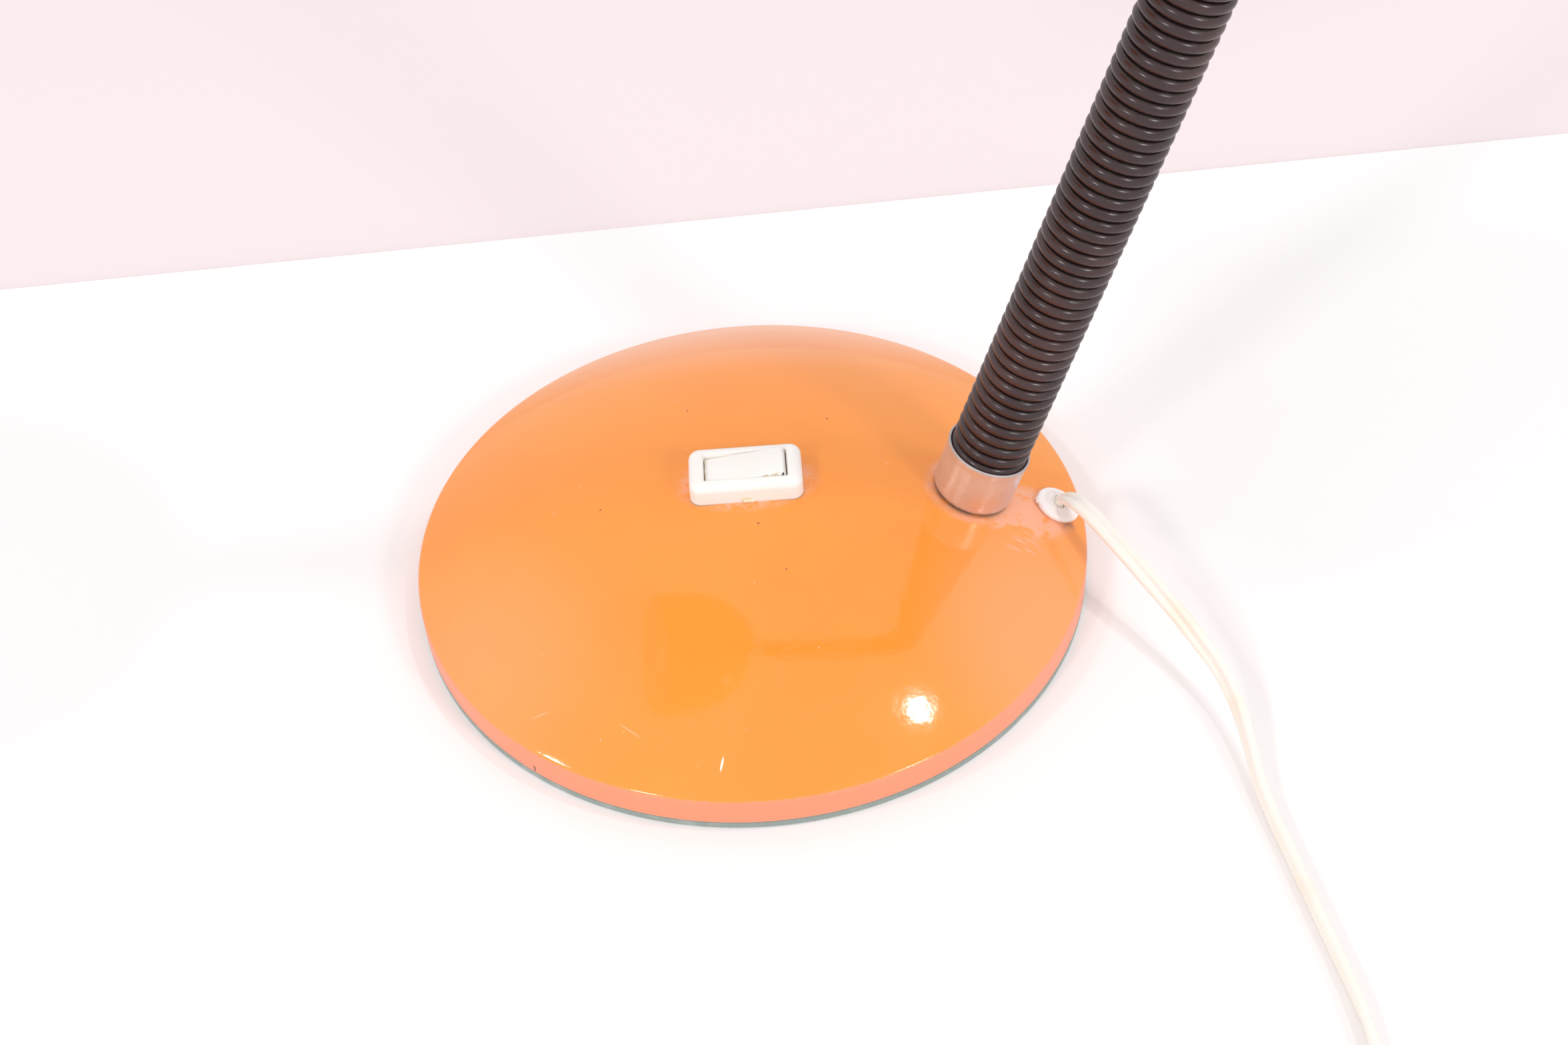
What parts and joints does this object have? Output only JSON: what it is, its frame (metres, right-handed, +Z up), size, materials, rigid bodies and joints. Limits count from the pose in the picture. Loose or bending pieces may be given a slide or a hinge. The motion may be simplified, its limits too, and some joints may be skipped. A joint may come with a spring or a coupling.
{
  "type": "gooseneck desk lamp",
  "caption": "Gooseneck desk lamp: domed round weighted base with a rocker switch, ribbed flexible neck, bell shade with bulb, and a flat twin cord with plug.",
  "frame": {"origin": "centre of the base's flat underside", "axes": "+Z up, +X from the base's centre towards the neck's foot and the cord's exit, +Y to the left of +X seen from above"},
  "size_m": [0.3003, 0.3785, 0.3867],
  "materials": {
    "orange_paint": "semi-gloss, worn",
    "zinc_steel": "zinc plated",
    "felt": "pressed felt",
    "ballast_iron": "as cast",
    "spun_aluminium": "satin, scratched",
    "core_aluminium": "turned",
    "brass": "plain",
    "white_plastic": "moulded",
    "plug_plastic": "moulded",
    "spring_steel": "wire",
    "clear_bush": "milky, translucent",
    "black_plastic": "moulded",
    "porcelain": "glazed",
    "cream_cord": "soft vinyl",
    "black_sleeve": "glossy ribbed vinyl",
    "bulb_metal": "nickel plated",
    "bulb_glass": "frosted",
    "filament": "lead glass and wire"
  },
  "bodies": {
    "base": {"base_shell": "orange_paint", "base_plate": "zinc_steel", "felt_pad": "felt", "ballast_disc": "ballast_iron", "ballast_bosses": "zinc_steel", "ballast_screws": "zinc_steel", "foot_ferrule": "spun_aluminium", "foot_stud": "brass", "foot_washer": "zinc_steel", "foot_nut": "zinc_steel", "switch_frame": "white_plastic", "switch_contacts": "brass", "cord_bush": "clear_bush", "cord_clamp": "black_plastic", "clamp_screws": "zinc_steel", "base_wires": "cream_cord", "power_cord": "cream_cord", "cord_coil": "cream_cord", "plug_lead": "cream_cord", "plug_body": "plug_plastic", "plug_pins": "brass", "neck_core_00": "core_aluminium", "neck_sleeve_00": "black_sleeve"},
    "rocker": {"switch_rocker": "white_plastic", "switch_plunger": "brass", "switch_spring": "spring_steel"},
    "link_01": {"neck_core_01": "core_aluminium", "neck_sleeve_01": "black_sleeve"},
    "link_02": {"neck_core_02": "core_aluminium", "neck_sleeve_02": "black_sleeve"},
    "link_03": {"neck_core_03": "core_aluminium", "neck_sleeve_03": "black_sleeve"},
    "link_04": {"neck_core_04": "core_aluminium", "neck_sleeve_04": "black_sleeve"},
    "link_05": {"neck_core_05": "core_aluminium", "neck_sleeve_05": "black_sleeve"},
    "link_06": {"neck_core_06": "core_aluminium", "neck_sleeve_06": "black_sleeve"},
    "link_07": {"neck_core_07": "core_aluminium", "neck_sleeve_07": "black_sleeve"},
    "link_08": {"neck_core_08": "core_aluminium", "neck_sleeve_08": "black_sleeve"},
    "link_09": {"neck_core_09": "core_aluminium", "neck_sleeve_09": "black_sleeve"},
    "link_10": {"neck_core_10": "core_aluminium", "neck_sleeve_10": "black_sleeve"},
    "link_11": {"neck_core_11": "core_aluminium", "neck_sleeve_11": "black_sleeve", "head_ferrule": "spun_aluminium", "head_stud": "brass", "head_nut": "zinc_steel", "shade": "orange_paint", "lampholder_cap": "black_plastic", "lampholder_body": "black_plastic", "lampholder_core": "porcelain", "lampholder_contacts": "brass", "head_wires": "cream_cord", "bulb_cap": "bulb_metal", "bulb_glass": "bulb_glass", "bulb_filament": "filament"}
  },
  "joints": [
    {"name": "lower_bend_1", "type": "hinge", "parent": "base", "child": "link_01", "pos_m": [0.08431, 0, 0.08253], "axis": [0, -1, 0], "range_deg": [-5, 8]},
    {"name": "sway_1", "type": "hinge", "parent": "link_01", "child": "link_02", "pos_m": [0.09572, 0, 0.11814], "axis": [0.9523, 0, -0.3051], "range_deg": [-10, 10]},
    {"name": "lower_bend_2", "type": "hinge", "parent": "link_02", "child": "link_03", "pos_m": [0.10713, 0, 0.15376], "axis": [0, -1, 0], "range_deg": [-5, 8]},
    {"name": "sway_2", "type": "hinge", "parent": "link_03", "child": "link_04", "pos_m": [0.11854, 0, 0.18938], "axis": [0.9523, 0, -0.3051], "range_deg": [-10, 10]},
    {"name": "lower_bend_3", "type": "hinge", "parent": "link_04", "child": "link_05", "pos_m": [0.12995, 0, 0.22499], "axis": [0, -1, 0], "range_deg": [-5, 8]},
    {"name": "upper_bend_1", "type": "hinge", "parent": "link_05", "child": "link_06", "pos_m": [0.14136, 0, 0.26061], "axis": [0, -1, 0], "range_deg": [-22.5, 5]},
    {"name": "upper_bend_2", "type": "hinge", "parent": "link_06", "child": "link_07", "pos_m": [0.13827, 0, 0.29788], "axis": [0, -1, 0], "range_deg": [-22.5, 5]},
    {"name": "upper_bend_3", "type": "hinge", "parent": "link_07", "child": "link_08", "pos_m": [0.12115, 0, 0.33114], "axis": [0, -1, 0], "range_deg": [-22.5, 5]},
    {"name": "sway_3", "type": "hinge", "parent": "link_08", "child": "link_09", "pos_m": [0.09261, 0, 0.35531], "axis": [0.3051, 0, 0.9523], "range_deg": [-10, 10]},
    {"name": "upper_bend_4", "type": "hinge", "parent": "link_09", "child": "link_10", "pos_m": [0.057, 0, 0.36672], "axis": [0, -1, 0], "range_deg": [-22.5, 5]},
    {"name": "upper_bend_5", "type": "hinge", "parent": "link_10", "child": "link_11", "pos_m": [0.01972, 0, 0.36363], "axis": [0, -1, 0], "range_deg": [-22.5, 5]},
    {"name": "rocker_tilt", "type": "hinge", "parent": "base", "child": "rocker", "pos_m": [0, 0, 0.03865], "axis": [0, 1, 0], "range_deg": [0, 16]}
  ],
  "couplings": [
    {"joint": "lower_bend_2", "follows": "lower_bend_1", "ratio": 1},
    {"joint": "sway_2", "follows": "sway_1", "ratio": 1},
    {"joint": "lower_bend_3", "follows": "lower_bend_1", "ratio": 1},
    {"joint": "upper_bend_2", "follows": "upper_bend_1", "ratio": 1},
    {"joint": "upper_bend_3", "follows": "upper_bend_1", "ratio": 1},
    {"joint": "sway_3", "follows": "sway_1", "ratio": 1},
    {"joint": "upper_bend_4", "follows": "upper_bend_1", "ratio": 1},
    {"joint": "upper_bend_5", "follows": "upper_bend_1", "ratio": 1}
  ]
}
